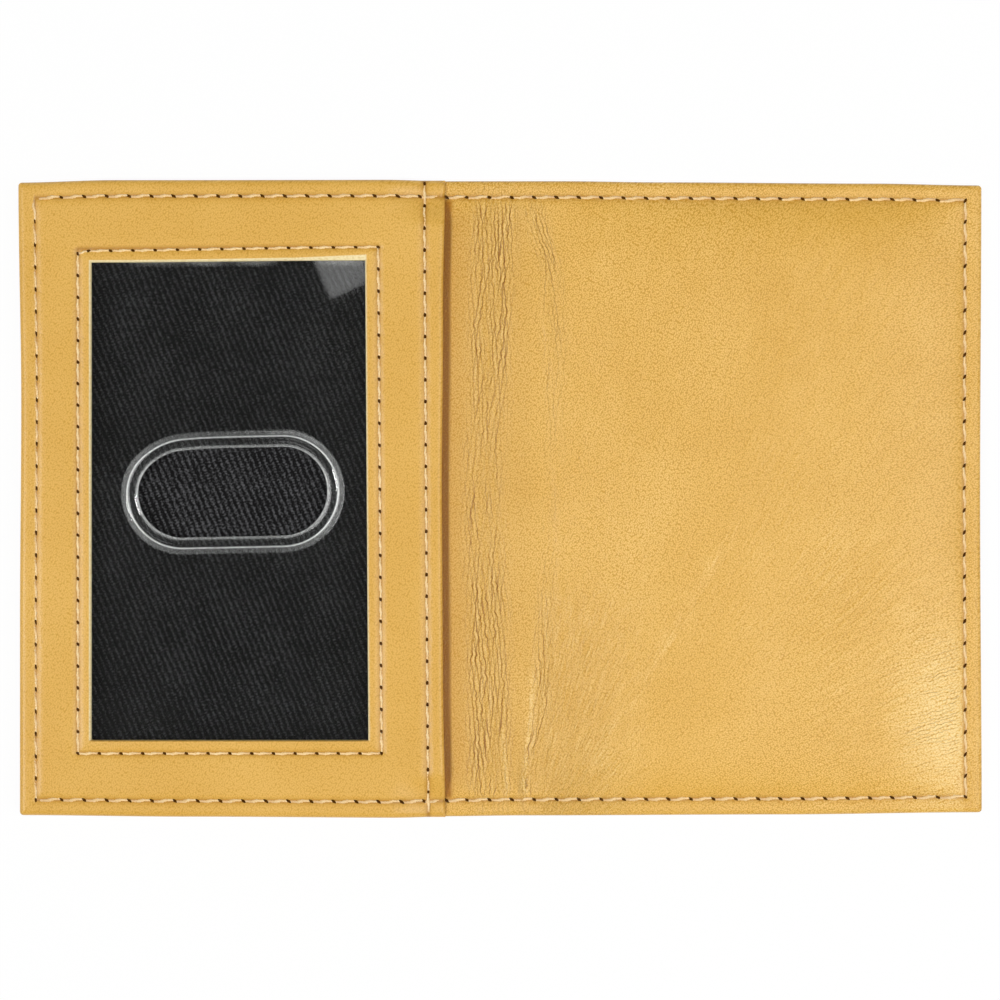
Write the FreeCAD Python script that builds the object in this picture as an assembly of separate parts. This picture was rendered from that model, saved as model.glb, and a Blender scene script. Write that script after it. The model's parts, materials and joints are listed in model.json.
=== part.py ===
import FreeCAD, Part
import math
import os

# An ID badge wallet, open and lying flat on the back of its cover.
# X runs across the fold, Y along it and Z up. The origin is under the middle of the spine.

# Whole wallet
open_width = 154.0
wallet_height = 101.6
corner_radius = 1.0
edge_round = 0.4
crease_spacing = 7.2
crease_gap = 0.2

# Sheets, from the back to the front
cover_thickness = 0.9
inner_leather_thickness = 0.9
frame_thickness = 0.9
hem_thickness = 0.4
twill_thickness = 0.3
film_thickness = 0.3
badge_board_thickness = 0.5
pad_thickness = 1.5

# What the pocket has to take, and how loosely pieces sit in each other
card_thickness = 0.76
card_play = 0.06
seat_gap = 0.1

# Edges that are turned under and sewn down
cover_turn_width = 5.0
frame_turn_width = 7.0
hem_width = 5.5

# Where the pocket's mouth and the fold leather's hidden edge lie, from the crease beside them
mouth_setback = 5.6
tuck_reach = 10.4

# Window in the frame, from the frame's own edges
window_left_margin = 11.5
window_mouth_margin = 12.2
window_top_margin = 12.6
window_bottom_margin = 12.2

# Thumb slot in the clear film, with its heat-sealed rim
slot_end_margin = 6.9
slot_width = 14.2
slot_offset_x = 0.55
slot_offset_y = 1.3
slot_tilt_degrees = 1.2
rim_band_width = 2.6
rim_band_height = 0.12
rim_bead_outset = 1.7
rim_bead_width = 0.5
rim_bead_height = 0.2

# Crown of the padded badge panel
crown_margin = 1.2
crown_run = 13.0
crown_corner = 5.0
crown_fold_margin = 5.2
crown_height_shares = (0.0, 0.45, 0.75, 0.92, 1.0)
crown_inset_shares = (0.0, 0.14, 0.34, 0.62, 1.0)

# Sewing
thread_diameter = 0.45
bobbin_diameter = 0.28
stitch_pitch = 3.6
stitch_length_share = 0.83
edge_seam_inset = 2.6
window_seam_inset = 2.1
mouth_seam_inset = 2.7
groove_clearance = 0.03
sunk_share = 0.5
cut_overrun = 1.0
match_tolerance = 0.02

# Places that follow from these sizes
half_width = open_width / 2
half_height = wallet_height / 2
crease_x = crease_spacing / 2
mouth_x = -(crease_x + mouth_setback)
tuck_x = -(crease_x + tuck_reach)
id_end_x = -(crease_x + crease_gap / 2)
spine_end_x = crease_x - crease_gap / 2

cover_top = cover_thickness
fold_top = cover_top + inner_leather_thickness
pocket_floor = fold_top + seat_gap
id_board_thickness = pocket_floor - cover_top - twill_thickness
film_bottom = pocket_floor + card_thickness + bobbin_diameter + card_play
film_top = film_bottom + film_thickness
frame_top = film_top + frame_thickness
hem_bottom = film_top - hem_thickness

window_left = -half_width + window_left_margin
window_right = mouth_x - window_mouth_margin
window_bottom = -half_height + window_bottom_margin
window_top = half_height - window_top_margin

seam_x = half_width - edge_seam_inset
seam_y = half_height - edge_seam_inset
mouth_seam_x = mouth_x - mouth_seam_inset


def block(x0, x1, y0, y1, z0, z1):
    corner = FreeCAD.Vector(x0, y0, z0)
    return Part.makeBox(x1 - x0, y1 - y0, z1 - z0, corner)


def outline(x0, x1, y0, y1, z, left_radius, right_radius):
    # A rectangle whose left and right corners may be rounded.
    turn = math.sqrt(0.5)
    corners = (
        (x0, y0, 1, 1, left_radius),
        (x1, y0, -1, 1, right_radius),
        (x1, y1, -1, -1, right_radius),
        (x0, y1, 1, -1, left_radius),
    )
    spans = []
    for index, (x, y, inward_x, inward_y, radius) in enumerate(corners):
        along_y = FreeCAD.Vector(x, y + inward_y * radius, z)
        along_x = FreeCAD.Vector(x + inward_x * radius, y, z)
        bow = radius * (1 - turn)
        middle = FreeCAD.Vector(x + inward_x * bow, y + inward_y * bow, z)
        ends = (along_y, along_x) if index % 2 == 0 else (along_x, along_y)
        spans.append((ends[0], middle, ends[1], radius))
    edges = []
    for index, (start, middle, end, radius) in enumerate(spans):
        if radius > 0:
            edges.append(Part.Arc(start, middle, end).toShape())
        following = spans[(index + 1) % len(spans)][0]
        edges.append(Part.LineSegment(end, following).toShape())
    return Part.Wire(edges)


def slab(wires, thickness):
    # The outermost wire is the rim, and a wire inside it is an opening.
    face = Part.makeFace(wires, "Part::FaceMakerBullseye")
    return face.extrude(FreeCAD.Vector(0, 0, thickness))


def profile_along_y(points):
    # A section in X and Z that runs the whole height of the wallet.
    corners = [FreeCAD.Vector(x, -half_height, z) for x, z in points]
    face = Part.Face(Part.makePolygon(corners + corners[:1]))
    return face.extrude(FreeCAD.Vector(0, wallet_height, 0))


def soften(solid, z, radius, on_edge):
    # Rounds the edges at one height whose middle lies on the wallet's own outline.
    chosen = []
    for edge in solid.Edges:
        box = edge.BoundBox
        flat = abs(box.ZMin - z) < match_tolerance and abs(box.ZMax - z) < match_tolerance
        middle = edge.valueAt((edge.FirstParameter + edge.LastParameter) / 2)
        if flat and on_edge(middle):
            chosen.append(edge)
    return solid.makeFillet(radius, chosen)


def on_wallet_edge(point):
    near = corner_radius / 2
    at_side = half_width - abs(point.x) < near
    at_end = half_height - abs(point.y) < near
    return at_side or at_end


def on_frame_edge(point):
    return on_wallet_edge(point) or abs(point.x - mouth_x) < match_tolerance


def stitch(length, diameter):
    # One visible stitch: a bar of thread with round ends, lying along X.
    radius = diameter / 2
    half = length / 2
    turn = math.sqrt(0.5)
    left_end = FreeCAD.Vector(-half, 0, 0)
    left_shoulder = FreeCAD.Vector(radius - half, radius, 0)
    left_bow = FreeCAD.Vector(radius - half - radius * turn, radius * turn, 0)
    right_end = FreeCAD.Vector(half, 0, 0)
    right_shoulder = FreeCAD.Vector(half - radius, radius, 0)
    right_bow = FreeCAD.Vector(half - radius + radius * turn, radius * turn, 0)
    edges = [
        Part.Arc(left_end, left_bow, left_shoulder).toShape(),
        Part.LineSegment(left_shoulder, right_shoulder).toShape(),
        Part.Arc(right_shoulder, right_bow, right_end).toShape(),
        Part.LineSegment(right_end, left_end).toShape(),
    ]
    face = Part.Face(Part.Wire(edges))
    return face.revolve(FreeCAD.Vector(0, 0, 0), FreeCAD.Vector(1, 0, 0), 360)


def laid(bar, x, y, z, upright):
    placed = bar.copy()
    if upright:
        placed.rotate(FreeCAD.Vector(0, 0, 0), FreeCAD.Vector(0, 0, 1), 90)
    placed.translate(FreeCAD.Vector(x, y, z))
    return placed


def row_centres(start, end):
    # Even stitches between two corner holes.
    count = max(1, round((end - start) / stitch_pitch))
    step = (end - start) / count
    return [start + step * (index + 0.5) for index in range(count)], step


def fold_row_centres(low, high):
    # Stitches along the top and bottom edges are counted from the middle of the spine.
    half_bar = stitch_pitch * stitch_length_share / 2
    reach = math.floor(seam_x / stitch_pitch)
    places = [stitch_pitch * index for index in range(-reach, reach + 1)]
    return [x for x in places if x - half_bar > low and x + half_bar < high]


def thread_height(face_z, diameter, downwards):
    # A stitch lies half sunk in its groove on a face that looks up, or sunk flush in one that looks down.
    if downwards:
        return face_z + groove_clearance + diameter / 2
    return face_z - diameter * sunk_share + groove_clearance + diameter / 2


def groove(x0, x1, y0, y1, face_z, diameter, downwards):
    # The pressed channel that one straight row of stitches lies in.
    half = diameter / 2 + groove_clearance
    depth = diameter + 2 * groove_clearance if downwards else diameter * sunk_share
    low = face_z - cut_overrun if downwards else face_z - depth
    high = face_z + depth if downwards else face_z + cut_overrun
    return block(x0 - half, x1 + half, y0 - half, y1 + half, low, high)


def fold_rows(low, high, z, diameter):
    bar = stitch(stitch_pitch * stitch_length_share, diameter)
    centres = fold_row_centres(low, high)
    return [laid(bar, x, y, z, False) for y in (-seam_y, seam_y) for x in centres]


def side_row(x, z, diameter):
    centres, step = row_centres(-seam_y, seam_y)
    bar = stitch(step * stitch_length_share, diameter)
    return [laid(bar, x, y, z, True) for y in centres]


def edge_grooves(low, high, side, face_z, diameter, downwards):
    # The channels under the edge seam, between two places along X, with a side run if there is one.
    cuts = [groove(low, high, y, y, face_z, diameter, downwards) for y in (-seam_y, seam_y)]
    if side is not None:
        cuts.append(groove(side, side, -seam_y, seam_y, face_z, diameter, downwards))
    return cuts


def window_seam_box():
    left = window_left - window_seam_inset
    right = window_right + window_seam_inset
    return left, right, window_bottom - window_seam_inset, window_top + window_seam_inset


def id_outer_cover():
    rim = outline(-half_width, id_end_x, -half_height, half_height, 0, corner_radius, 0)
    cover = slab([rim], cover_thickness)
    end_x = tuck_x - seat_gap
    turned = slab(
        [outline(-half_width, end_x, -half_height, half_height, cover_top, corner_radius, 0)],
        pocket_floor - cover_top,
    )
    room_y = half_height - cover_turn_width
    room = block(
        -half_width + cover_turn_width, end_x + cut_overrun, -room_y, room_y,
        cover_top, pocket_floor + cut_overrun,
    )
    cover = cover.fuse(turned.cut(room)).removeSplitter()
    cover = soften(cover, 0, edge_round, on_wallet_edge)
    return cover.cut(edge_grooves(-seam_x, id_end_x, -seam_x, 0, bobbin_diameter, True))


def lining_room():
    # The tray inside the cover's turned edge, with room to lay a sheet in it.
    edge = cover_turn_width + seat_gap
    return -half_width + edge, tuck_x - seat_gap, -half_height + edge, half_height - edge


def id_stiffener():
    x0, x1, y0, y1 = lining_room()
    return block(x0, x1, y0, y1, cover_top, cover_top + id_board_thickness)


def id_pocket_lining():
    x0, x1, y0, y1 = lining_room()
    return block(x0, x1, y0, y1, pocket_floor - twill_thickness, pocket_floor)


def stadium(length, width, z):
    # The thumb slot's outline, a little tilted, round the slot's own middle.
    straight = length / 2 - width / 2
    radius = width / 2
    corners = [
        FreeCAD.Vector(-straight, -radius, z),
        FreeCAD.Vector(straight, -radius, z),
        FreeCAD.Vector(straight, radius, z),
        FreeCAD.Vector(-straight, radius, z),
    ]
    right_end = FreeCAD.Vector(straight + radius, 0, z)
    left_end = FreeCAD.Vector(-straight - radius, 0, z)
    wire = Part.Wire([
        Part.LineSegment(corners[0], corners[1]).toShape(),
        Part.Arc(corners[1], right_end, corners[2]).toShape(),
        Part.LineSegment(corners[2], corners[3]).toShape(),
        Part.Arc(corners[3], left_end, corners[0]).toShape(),
    ])
    wire.rotate(FreeCAD.Vector(0, 0, 0), FreeCAD.Vector(0, 0, 1), slot_tilt_degrees)
    middle_x = (window_left + window_right) / 2 + slot_offset_x
    middle_y = (window_bottom + window_top) / 2 + slot_offset_y
    wire.translate(FreeCAD.Vector(middle_x, middle_y, 0))
    return wire


def id_window_film():
    length = window_right - window_left - 2 * slot_end_margin
    edge = frame_turn_width + seat_gap
    sheet = slab([
        outline(
            -half_width + edge, mouth_x - hem_width - seat_gap,
            -half_height + edge, half_height - edge, film_bottom, 0, 0,
        ),
        stadium(length, slot_width, film_bottom),
    ], film_thickness)

    def ring(inset, outset, height):
        outer = stadium(length + 2 * outset, slot_width + 2 * outset, film_top)
        inner = stadium(length + 2 * inset, slot_width + 2 * inset, film_top)
        return slab([outer, inner], height)

    band = ring(0, rim_band_width, rim_band_height)
    bead = ring(rim_bead_outset, rim_bead_outset + rim_bead_width, rim_band_height + rim_bead_height)
    return sheet.fuse([band, bead]).removeSplitter()


def id_frame():
    rim = outline(-half_width, mouth_x, -half_height, half_height, film_top, corner_radius, 0)
    hole = outline(window_left, window_right, window_bottom, window_top, film_top, 0, 0)
    face = slab([rim, hole], frame_thickness)

    room_y = half_height - frame_turn_width
    hem = block(mouth_x - hem_width, mouth_x, -room_y, room_y, hem_bottom, film_top)
    frame = face.fuse(hem).removeSplitter()
    frame = soften(frame, frame_top, edge_round, on_frame_edge)

    left, right, bottom, top = window_seam_box()
    cuts = edge_grooves(-seam_x, mouth_x, -seam_x, frame_top, thread_diameter, False)
    cuts += [groove(left, right, y, y, frame_top, thread_diameter, False) for y in (bottom, top)]
    cuts += [groove(x, x, bottom, top, frame_top, thread_diameter, False) for x in (left, right)]
    ends = mouth_row_reach()
    cuts.append(groove(mouth_seam_x, mouth_seam_x, -ends, ends, frame_top, thread_diameter, False))
    cuts.append(groove(mouth_seam_x, mouth_seam_x, -ends, ends, hem_bottom, bobbin_diameter, True))
    return frame.cut(cuts)


def id_frame_turned_edge():
    # Three edges of the frame are turned under and pressed, which leaves room for a card between them.
    turned = slab(
        [outline(-half_width, mouth_x, -half_height, half_height, pocket_floor, corner_radius, 0)],
        film_top - pocket_floor,
    )
    room_y = half_height - frame_turn_width
    room = block(
        -half_width + frame_turn_width, mouth_x + cut_overrun, -room_y, room_y,
        pocket_floor - cut_overrun, film_top + cut_overrun,
    )
    return turned.cut(room)


def mouth_row_reach():
    # The mouth's stitches stop short of the turned edges, which the edge seam closes.
    return half_height - frame_turn_width - thread_diameter


def mouth_row(z, diameter):
    reach = mouth_row_reach()
    centres, step = row_centres(-reach, reach)
    bar = stitch(step * stitch_length_share, diameter)
    return [laid(bar, mouth_seam_x, y, z, True) for y in centres]


def window_rows(z, diameter):
    left, right, bottom, top = window_seam_box()
    across, across_step = row_centres(left, right)
    along, along_step = row_centres(bottom, top)
    short_bar = stitch(across_step * stitch_length_share, diameter)
    long_bar = stitch(along_step * stitch_length_share, diameter)
    bars = [laid(short_bar, x, y, z, False) for y in (bottom, top) for x in across]
    return bars + [laid(long_bar, x, y, z, True) for x in (left, right) for y in along]


def fold_leather_id_side():
    # The inner leather runs on under the pocket's mouth. Its fold edge is cut back so that the fold closes.
    strip = profile_along_y([
        (tuck_x, cover_top),
        (id_end_x, cover_top),
        (id_end_x - inner_leather_thickness, fold_top),
        (tuck_x, fold_top),
    ])
    return strip.cut(edge_grooves(tuck_x, id_end_x, None, fold_top, thread_diameter, False))


def spine_inner_leather():
    strip = profile_along_y([
        (-spine_end_x, cover_top),
        (spine_end_x, cover_top),
        (spine_end_x - inner_leather_thickness, fold_top),
        (inner_leather_thickness - spine_end_x, fold_top),
    ])
    return strip.cut(edge_grooves(-spine_end_x, spine_end_x, None, fold_top, thread_diameter, False))


def spine_outer_cover():
    strip = block(-spine_end_x, spine_end_x, -half_height, half_height, 0, cover_top)
    strip = soften(strip, 0, edge_round, on_wallet_edge)
    return strip.cut(edge_grooves(-spine_end_x, spine_end_x, None, 0, bobbin_diameter, True))


def badge_outer_cover():
    rim = outline(-id_end_x, half_width, -half_height, half_height, 0, 0, corner_radius)
    cover = soften(slab([rim], cover_thickness), 0, edge_round, on_wallet_edge)
    return cover.cut(edge_grooves(-id_end_x, seam_x, seam_x, 0, bobbin_diameter, True))


def crown_inset(rise_share):
    # How far the padded field has drawn in at a share of its rise.
    steps = list(zip(crown_height_shares, crown_inset_shares))
    for (low, near), (high, far) in zip(steps, steps[1:]):
        if rise_share <= high:
            return crown_run * (near + (far - near) * (rise_share - low) / (high - low))
    return crown_run


def crown_rise():
    return badge_board_thickness + pad_thickness


def crown_section(z, inset):
    edge = edge_seam_inset + crown_margin + inset
    return outline(
        crease_x + crown_fold_margin + inset, half_width - edge,
        -half_height + edge, half_height - edge, z, crown_corner, crown_corner,
    )


def crown(base_z, from_share, draw_in):
    # The swelling of the padded field, from a share of its rise up to its top.
    shares = [from_share] + [share for share in crown_height_shares if share > from_share]
    sections = []
    for share in shares:
        sections.append(crown_section(base_z + crown_rise() * share, crown_inset(share) + draw_in))
    return Part.makeLoft(sections, True, True)


def badge_stiffener():
    share = badge_board_thickness / crown_rise()
    section = crown_section(cover_top, crown_inset(share) + seat_gap)
    return slab([section], badge_board_thickness)


def badge_pad():
    # Foam that lies on the board and fills the swelling under the leather.
    share = badge_board_thickness / crown_rise()
    return crown(cover_top - seat_gap / 2, share, seat_gap).cut(
        block(-half_width, half_width, -half_height, half_height, 0, cover_top + badge_board_thickness)
    )


def badge_panel():
    sheet = profile_along_y([
        (-id_end_x, cover_top),
        (half_width, cover_top),
        (half_width, fold_top),
        (inner_leather_thickness - id_end_x, fold_top),
    ])
    rounded = slab(
        [outline(0, half_width, -half_height, half_height, 0, 0, corner_radius)], fold_top + cut_overrun
    )
    sheet = soften(sheet.common(rounded), fold_top, edge_round, on_wallet_edge)
    sheet = sheet.fuse(crown(fold_top, 0.0, 0))
    sheet = sheet.cut(crown(cover_top, 0.0, 0)).removeSplitter()
    return sheet.cut(edge_grooves(-id_end_x, seam_x, seam_x, fold_top, thread_diameter, False))


def build():
    face_thread = thread_height(frame_top, thread_diameter, False)
    fold_thread = thread_height(fold_top, thread_diameter, False)
    back_thread = thread_height(0, bobbin_diameter, True)
    hem_thread = thread_height(hem_bottom, bobbin_diameter, True)
    film_thread = film_bottom - groove_clearance - bobbin_diameter / 2
    flat_id_x = id_end_x - inner_leather_thickness
    flat_spine_x = spine_end_x - inner_leather_thickness

    id_seam = fold_rows(-seam_x, mouth_x, face_thread, thread_diameter)
    id_seam += fold_rows(mouth_x, flat_id_x, fold_thread, thread_diameter)
    id_seam += side_row(-seam_x, face_thread, thread_diameter)
    id_back_seam = fold_rows(-seam_x, id_end_x, back_thread, bobbin_diameter)
    id_back_seam += side_row(-seam_x, back_thread, bobbin_diameter)
    badge_seam = fold_rows(-flat_id_x, seam_x, fold_thread, thread_diameter)
    badge_seam += side_row(seam_x, fold_thread, thread_diameter)
    badge_back_seam = fold_rows(-id_end_x, seam_x, back_thread, bobbin_diameter)
    badge_back_seam += side_row(seam_x, back_thread, bobbin_diameter)

    return {
        "id_outer_cover": [id_outer_cover()],
        "id_stiffener": [id_stiffener()],
        "id_pocket_lining": [id_pocket_lining()],
        "id_window_film": [id_window_film()],
        "id_frame": [id_frame()],
        "id_frame_turned_edge": [id_frame_turned_edge()],
        "fold_leather_id_side": [fold_leather_id_side()],
        "window_stitching": window_rows(face_thread, thread_diameter),
        "window_bobbin_stitching": window_rows(film_thread, bobbin_diameter),
        "mouth_stitching": mouth_row(face_thread, thread_diameter),
        "mouth_bobbin_stitching": mouth_row(hem_thread, bobbin_diameter),
        "id_edge_stitching": id_seam,
        "id_edge_bobbin_stitching": id_back_seam,
        "spine_outer_cover": [spine_outer_cover()],
        "spine_inner_leather": [spine_inner_leather()],
        "spine_edge_stitching": fold_rows(-flat_spine_x, flat_spine_x, fold_thread, thread_diameter),
        "spine_edge_bobbin_stitching": fold_rows(-spine_end_x, spine_end_x, back_thread, bobbin_diameter),
        "badge_outer_cover": [badge_outer_cover()],
        "badge_stiffener": [badge_stiffener()],
        "badge_pad": [badge_pad()],
        "badge_panel": [badge_panel()],
        "badge_edge_stitching": badge_seam,
        "badge_edge_bobbin_stitching": badge_back_seam,
    }


os.makedirs("parts", exist_ok=True)
for name, pieces in build().items():
    solids = [solid for piece in pieces for solid in piece.Solids]
    shape = solids[0] if len(solids) == 1 else Part.makeCompound(solids)
    shape.exportStep("parts/" + name + ".step")
    volume = sum(solid.Volume for solid in solids)
    valid = all(solid.isValid() for solid in solids)
    box = shape.BoundBox
    print(f"{name}: {len(solids)} solids, {volume:.1f} mm3, valid {valid}, z {box.ZMin:.3f} to {box.ZMax:.3f}")
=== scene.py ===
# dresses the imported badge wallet: settings are in mm, the scene is in metres
import functools
import json
import math
import bpy
import numpy as np
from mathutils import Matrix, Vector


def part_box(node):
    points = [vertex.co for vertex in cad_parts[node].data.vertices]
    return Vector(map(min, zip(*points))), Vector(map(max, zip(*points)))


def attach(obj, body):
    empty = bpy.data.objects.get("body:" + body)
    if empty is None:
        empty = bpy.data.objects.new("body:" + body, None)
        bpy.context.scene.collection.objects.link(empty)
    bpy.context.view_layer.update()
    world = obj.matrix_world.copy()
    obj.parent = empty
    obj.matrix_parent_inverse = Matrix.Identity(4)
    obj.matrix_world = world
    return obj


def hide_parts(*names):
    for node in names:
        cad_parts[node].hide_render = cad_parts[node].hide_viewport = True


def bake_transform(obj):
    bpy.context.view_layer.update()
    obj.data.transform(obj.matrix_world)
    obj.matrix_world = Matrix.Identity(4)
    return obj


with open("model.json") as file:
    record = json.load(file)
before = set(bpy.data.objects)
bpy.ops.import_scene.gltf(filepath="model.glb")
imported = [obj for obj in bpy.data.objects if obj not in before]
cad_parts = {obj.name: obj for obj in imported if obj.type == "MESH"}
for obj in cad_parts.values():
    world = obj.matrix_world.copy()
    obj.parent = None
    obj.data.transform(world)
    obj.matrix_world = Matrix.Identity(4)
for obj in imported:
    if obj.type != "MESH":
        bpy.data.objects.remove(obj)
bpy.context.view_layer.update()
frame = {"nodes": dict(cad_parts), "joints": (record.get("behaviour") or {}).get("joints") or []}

mm = 0.001


def nodeBox(node):
    low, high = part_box(node)
    return np.array(low) / mm, np.array(high) / mm


# places that every piece shares, read from the solids
coverHigh = nodeBox("id_outer_cover")[1]
panelHigh = nodeBox("badge_panel")[1]
frameLow, frameHigh = nodeBox("id_frame")
turnLow, turnHigh = nodeBox("id_frame_turned_edge")
foldLow, foldHigh = nodeBox("fold_leather_id_side")
padLow, padHigh = nodeBox("badge_pad")
filmLow, filmHigh = nodeBox("id_window_film")
liningLow, liningHigh = nodeBox("id_pocket_lining")
halfWidth, halfHeight = panelHigh[:2]
mouthX = frameHigh[0]
crease = [joint["pos_m"][0] / mm for joint in frame["joints"]]

window = {"left": -65.5, "right": -21.4, "bottom": -38.6, "top": 38.2}
seams = {
    "edgeInset": 2.6,
    "windowInset": 2.1,
    "mouthInset": 2.7,
    "edgePitch": 3.6,
    "windowPitch": 3.53,
    "mouthPitch": 3.46,
    "holeWidth": 0.5,
}
seamX = halfWidth - seams["edgeInset"]
seamY = halfHeight - seams["edgeInset"]
hemX = mouthX - seams["mouthInset"]
sewnLeft, sewnRight = window["left"] - seams["windowInset"], window["right"] + seams["windowInset"]
sewnBottom, sewnTop = window["bottom"] - seams["windowInset"], window["top"] + seams["windowInset"]
clear = 0.02     # keeps sheets that lie on each other apart


# small shape helpers, all in mm and on numpy arrays
def ease(t):
    t = np.clip(t, 0, 1)
    return t * t * (3 - 2 * t)


def rise(at, start, run):
    return ease((at - start) / run)


def fall(at, end, run):
    return ease((end - at) / run)


def bump(distance, width):
    return np.exp(-((distance / width) ** 2))


def softCurve(at, stops):
    places, values = (np.array(part, float) for part in zip(*stops))
    i = np.clip(np.searchsorted(places, at) - 1, 0, len(places) - 2)
    return values[i] + (values[i + 1] - values[i]) * rise(at, places[i], places[i + 1] - places[i])


# nine waves in random directions, about as long as wave
def swell(x, y, wave, seed):
    rng = np.random.default_rng(seed)
    total = 0
    for _ in range(9):
        turn = rng.uniform(0, 2 * math.pi)
        size = wave * rng.uniform(0.6, 1.7)
        along = x * math.cos(turn) + y * math.sin(turn)
        total = total + np.sin(along * 2 * math.pi / size + rng.uniform(0, 6.3))
    return total / 4


def rollDrop(inset, radius):
    run = radius - np.clip(inset, 0, radius)
    return radius - np.sqrt(radius * radius - run * run)


def fromEdge(x, y):
    return np.minimum(halfWidth - abs(x), halfHeight - abs(y))


# 1 on the edge seam, which turns at the given side, fading out across it
def sewnEdge(x, y, side, width):
    ring = np.minimum(abs(abs(y) - seamY), np.where(abs(y) < seamY, abs(x - side), 9))
    return np.where(abs(x) < seamX + 0.1, bump(ring, width), 0)


# grid lines through the stops, closer near each fine place: place, reach and smallest step
def gridLines(stops, step, fine=()):
    lines = [stops[0]]
    for a, b in zip(stops, stops[1:]):
        run, at = [], a
        while at < b - 1e-6:
            near = [small + (step - small) * abs(at - spot) / reach for spot, reach, small in fine]
            at += min([step] + near)
            run.append(at)
        lines += list(a + (np.array(run) - a) * (b - a) / (run[-1] - a))
    return np.array(lines)


# the sewn edges are not quite straight: each side is pulled a little, fading inwards
pulls = {
    "fade": 10.0,
    "top": ((-77, -0.1), (-62, 0.3), (10, 0.38), (26, 0.2), (60, 0.0), (77, -0.3)),
    "bottom": ((-77, 0.15), (-50, -0.1), (-10, -0.3), (4, -0.15), (45, 0.0), (77, 0.35)),
    "left": ((-51, 0.0), (-20, 0.0), (15, 0.2), (51, -0.25)),
    "right": ((-51, 0.5), (0, 0.25), (51, 0.45)),
    "cornerRadius": 0.6,
}


def pulled(x, y):
    r, fade = pulls["cornerRadius"], pulls["fade"]
    cx, cy = np.clip(x, r - halfWidth, halfWidth - r), np.clip(y, r - halfHeight, halfHeight - r)
    u, v = x - cx, y - cy
    far = np.maximum(np.hypot(u, v), 1e-9)
    share = np.where(far > 1e-8, np.maximum(abs(u), abs(v)) / far, 1)
    x, y = cx + u * share, cy + v * share
    px = softCurve(y, pulls["left"]) * ease(1 - (x + halfWidth) / fade)
    px = px + softCurve(y, pulls["right"]) * ease(1 - (halfWidth - x) / fade)
    py = softCurve(x, pulls["top"]) * ease(1 - (halfHeight - y) / fade)
    py = py + softCurve(x, pulls["bottom"]) * ease(1 - (y + halfHeight) / fade)
    return x + px, y + py


# adds a node with its links, the stops of its colour ramp and its other settings
def put(tree, kind, links=(), stops=(), **settings):
    names = [prefix + kind for prefix in ("ShaderNode", "GeometryNode", "FunctionNode", "")]
    node = tree.nodes.new(next(name for name in names if hasattr(bpy.types, name)))
    for key, value in settings.items():
        setattr(node, key, value)
    feed(node, links)
    for i, (at, colour) in enumerate(stops):
        element = node.color_ramp.elements[i] if i < 2 else node.color_ramp.elements.new(at)
        element.position, element.color = at, hexColour(colour)
    return node


# links go by name or in order: a value, a socket, or a node that gives its factor or first output in use
def feed(node, links):
    for socket, source in links.items() if isinstance(links, dict) else enumerate(links):
        if isinstance(source, bpy.types.Node):
            inUse = [output for output in source.outputs if output.enabled]
            source = next((output for output in inUse if output.name == "Fac"), inUse[0])
        if isinstance(source, bpy.types.NodeSocket):
            node.id_data.links.new(source, node.inputs[socket])
        else:
            node.inputs[socket].default_value = source


def hexColour(text):
    parts = [int(text[i:i + 2], 16) / 255 for i in (1, 3, 5)]
    return tuple(c / 12.92 if c <= 0.04045 else ((c + 0.055) / 1.055) ** 2.4 for c in parts) + (1.0,)


def perMm(size):
    return 1 / (size * mm)


def newMaterial(name):
    material = bpy.data.materials.new(name)
    material.use_nodes = True
    tree = material.node_tree
    return material, functools.partial(put, tree), tree.nodes["Principled BSDF"]


times, timesAdd = {"operation": "MULTIPLY"}, {"operation": "MULTIPLY_ADD"}
waveTurn = math.pi / 10     # a wave texture turns once every pi/10 units at scale 1

# vegetable tanned calf, waxed: warm tan, fine pebbled grain, cloudy tone; painted shade in its creases, under
# the mouth and along the seams, painted highlights on ridges, ray folds and the lower right edge
leatherLook = {
    "tones": ((0.3, "#CC9832"), (0.5, "#DDAB4B"), (0.72, "#ECBF66"), (0.9, "#F6D68E")),
    # painted shade laid in the hair creases
    "crease": "#945E00",
    # painted highlight laid on the ridges between the creases
    "ridge": "#F6D68E",
    # painted shade: colour of the shadow under the mouth, over the fold and along the seams
    "handled": "#A06604",
    "marks": ("drawn", "fanned", "bent", "creased", "puckered", "handled", "rubbed"),
    # middle of the tone, and how far each pattern moves it
    "tone": 0.38,
    "grainMiddle": 0.475,
    "grainScale": (-0.8, 0.835),
    "patchScale": (0.8, 0.55),
    "cloudTone": 0.22,
    # how far the painted highlight of the sleek places lifts the tone
    "rubTone": 0.34,
    # how far the painted highlight and shade of the ray folds move the tone
    "rayTone": 0.13,
    "cloud": 16.0,
    # pebbles: size, how far they are drawn out, their lay beside the fold and at the far corner
    "pebble": 0.23,
    "drawnOut": 0.72,
    "lays": (62, 24),
    "overEdge": (0.8, 0.6, 0),
    # attribute that says where, turn in degrees, gap and length
    "hairs": (("creased", 5, 0.66, 5.0), ("creased", -6, 0.8, 4.0), ("puckered", -74, 0.62, 3.2)),
    # strength of the painted shade in the creases
    "hairTint": 0.92,
    # strength of the painted highlight on the ridges
    "ridgeTint": 0.24,
    "sway": 1.1,
    "swayReach": (0.75, 0.8, 0),
    "tuft": 1.5,
    # rays in the drawn hide, from below the fold, their highlight and shade painted into the tone: middle,
    # reach where the gap holds, gap and length
    "rays": ((1.8, -64.0, 0), 45, 0.42, 5.0),
    "rayRelief": -1.1,
    "roughness": (0.32, 0.5),
    "rubSleek": -0.1,
    "grainHeight": 0.06,
    "hairDepth": 0.055,
}


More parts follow.
